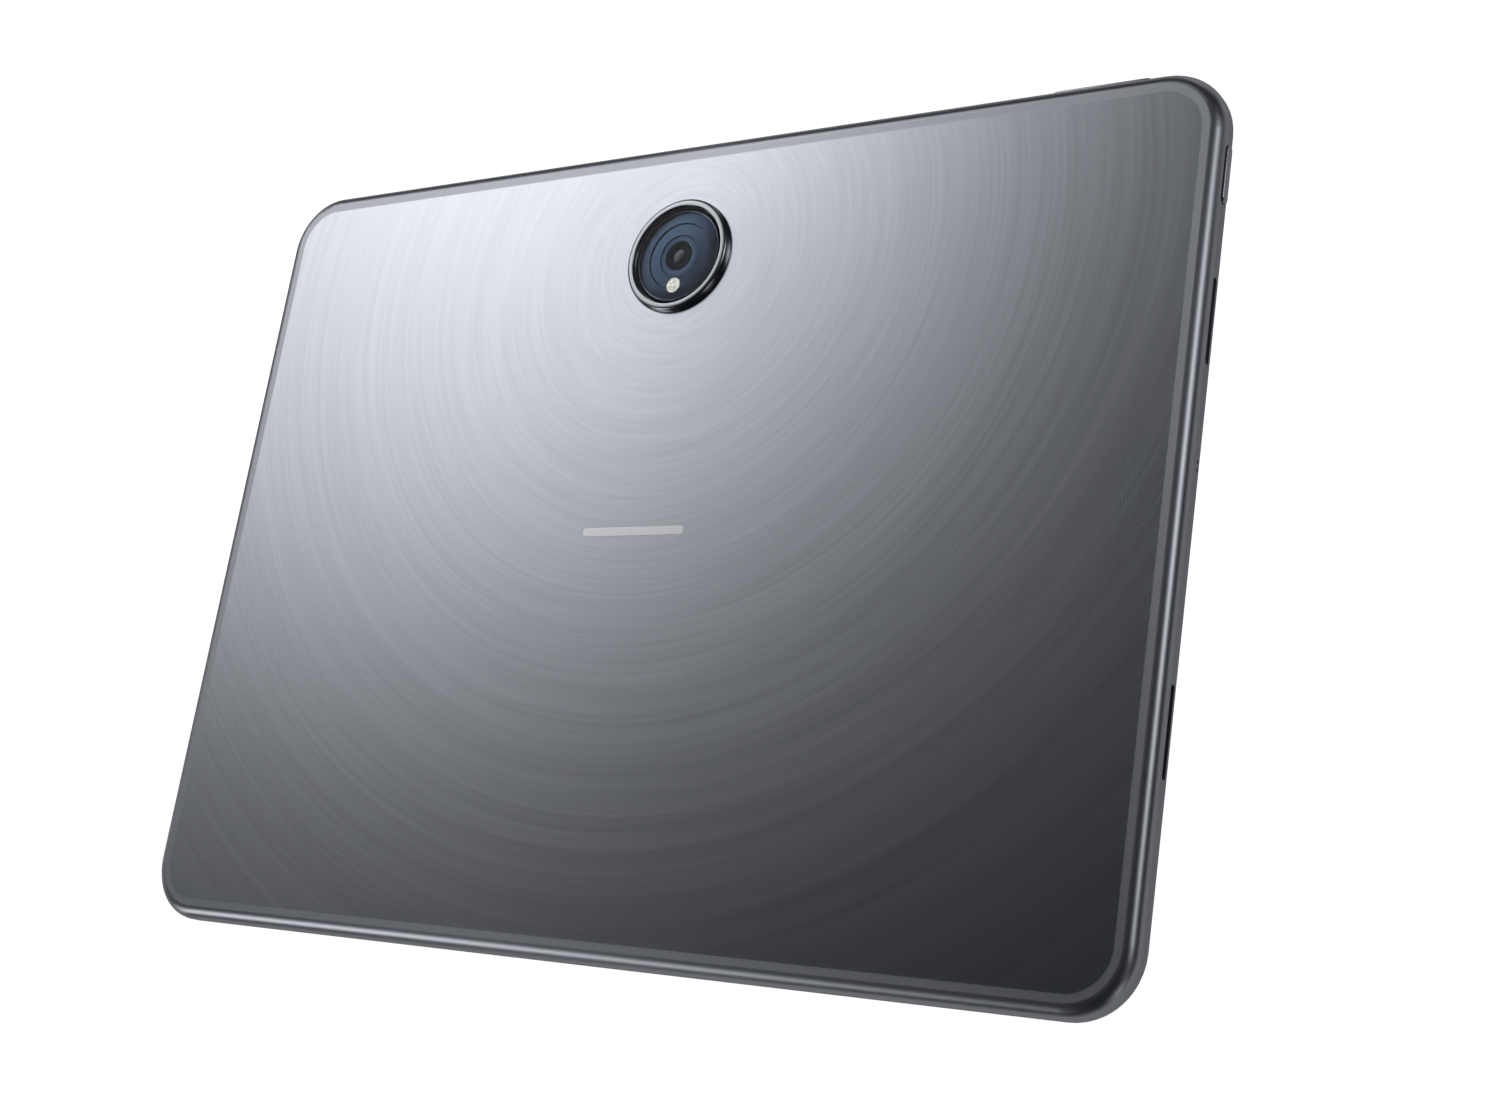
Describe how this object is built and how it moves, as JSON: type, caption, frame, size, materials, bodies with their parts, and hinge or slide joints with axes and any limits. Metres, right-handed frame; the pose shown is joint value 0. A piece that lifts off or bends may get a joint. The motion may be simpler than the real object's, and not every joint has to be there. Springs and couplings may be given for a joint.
{
  "type": "tablet computer",
  "caption": "Thin flat tablet with a brushed metal back, a round camera in a raised ring, sprung side keys, speaker slots and a dark glass screen.",
  "frame": {"origin": "centre of the screen face, with the tablet lying on its screen", "axes": "+X along the long side towards the short side with the power button, +Y towards the long side nearest the camera, +Z out of the metal back"},
  "size_m": [0.2584, 0.1899, 0.008],
  "materials": {
    "anodised_aluminium": "concentric brushed",
    "polished_aluminium": "polished",
    "key_aluminium": "bead blasted",
    "camera_glass": "polished",
    "lens_glass": "coated",
    "flash_lens_plastic": "faceted clear",
    "led_phosphor": "phosphor",
    "screen_glass": "polished",
    "black_ink": "printed",
    "foam_tape": "foam tape",
    "clear_adhesive": "clear film",
    "panel_glass": "polarised",
    "light_guide_acrylic": "clear moulded",
    "tray_aluminium": "stamped",
    "stamped_steel": "stamped",
    "trim_plastic": "moulded with rings",
    "black_plastic": "moulded",
    "chip_ceramic": "moulded package",
    "circuit_board": "solder mask",
    "ribbon_cable": "polyimide film",
    "connector_plastic": "moulded",
    "switch_brass": "stamped",
    "contact_gold": "gold plated",
    "battery_pouch": "laminated foil",
    "speaker_mesh_steel": "woven mesh",
    "magnet_nickel": "nickel plated",
    "coil_copper": "wound"
  },
  "bodies": {
    "tablet": {"rear_housing": "anodised_aluminium", "back_inlay": "polished_aluminium", "camera_ring": "polished_aluminium", "camera_cover_glass": "camera_glass", "camera_glass_tape": "foam_tape", "camera_trim_disc": "trim_plastic", "camera_housing": "black_plastic", "image_sensor": "chip_ceramic", "camera_board": "ribbon_cable", "flash_lens": "flash_lens_plastic", "flash_led": "led_phosphor", "cover_glass": "screen_glass", "bezel_mask": "black_ink", "cover_glass_tape": "foam_tape", "optical_adhesive": "clear_adhesive", "display_panel": "panel_glass", "light_guide": "light_guide_acrylic", "backlight_led_strip": "led_phosphor", "backlight_tray": "tray_aluminium", "display_cable": "ribbon_cable", "front_camera": "black_plastic", "front_camera_lens": "lens_glass", "light_sensor": "chip_ceramic", "battery_cell_left": "battery_pouch", "battery_cell_right": "battery_pouch", "battery_tape": "clear_adhesive", "battery_board": "circuit_board", "main_board": "circuit_board", "processor": "chip_ceramic", "memory_chip": "chip_ceramic", "processor_shield": "stamped_steel", "radio_shield": "stamped_steel", "board_connectors": "connector_plastic", "board_cover": "stamped_steel", "thermal_pad": "foam_tape", "board_screws": "stamped_steel", "power_switch": "switch_brass", "power_switch_bracket": "stamped_steel", "volume_switches": "switch_brass", "volume_switch_bracket": "stamped_steel", "side_key_cable": "ribbon_cable", "speaker_upper_right": "black_plastic", "speaker_lower_right": "black_plastic", "speaker_upper_left": "black_plastic", "speaker_lower_left": "black_plastic", "speaker_meshes": "speaker_mesh_steel", "microphone": "switch_brass", "usb_shell": "stamped_steel", "usb_tongue": "black_plastic", "usb_board": "circuit_board", "usb_cable": "ribbon_cable", "dock_contacts": "contact_gold", "dock_contact_holder": "black_plastic", "edge_magnets": "magnet_nickel", "stylus_charge_coil": "coil_copper", "wifi_antennas": "black_plastic"},
    "power_key": {"power_button": "key_aluminium"},
    "volume_key": {"volume_rocker": "key_aluminium"},
    "focus_lens": {"lens_barrel": "black_plastic", "lens_front_element": "lens_glass"}
  },
  "joints": [
    {"name": "power_press", "type": "slide", "parent": "tablet", "child": "power_key", "axis": [-1, 0, 0], "range_m": [0, 0.00025], "stiffness_N_per_m": 4000, "springref_m": -0.00015},
    {"name": "volume_rock", "type": "hinge", "parent": "tablet", "child": "volume_key", "pos_m": [0.1, 0.09287, 0.0032], "axis": [0, 0, 1], "range_deg": [-1.6, 1.6], "stiffness_Nm_per_rad": 0.43},
    {"name": "lens_focus", "type": "slide", "parent": "tablet", "child": "focus_lens", "axis": [0, 0, 1], "range_m": [0, 0.00025], "stiffness_N_per_m": 150, "springref_m": -0.0001}
  ]
}
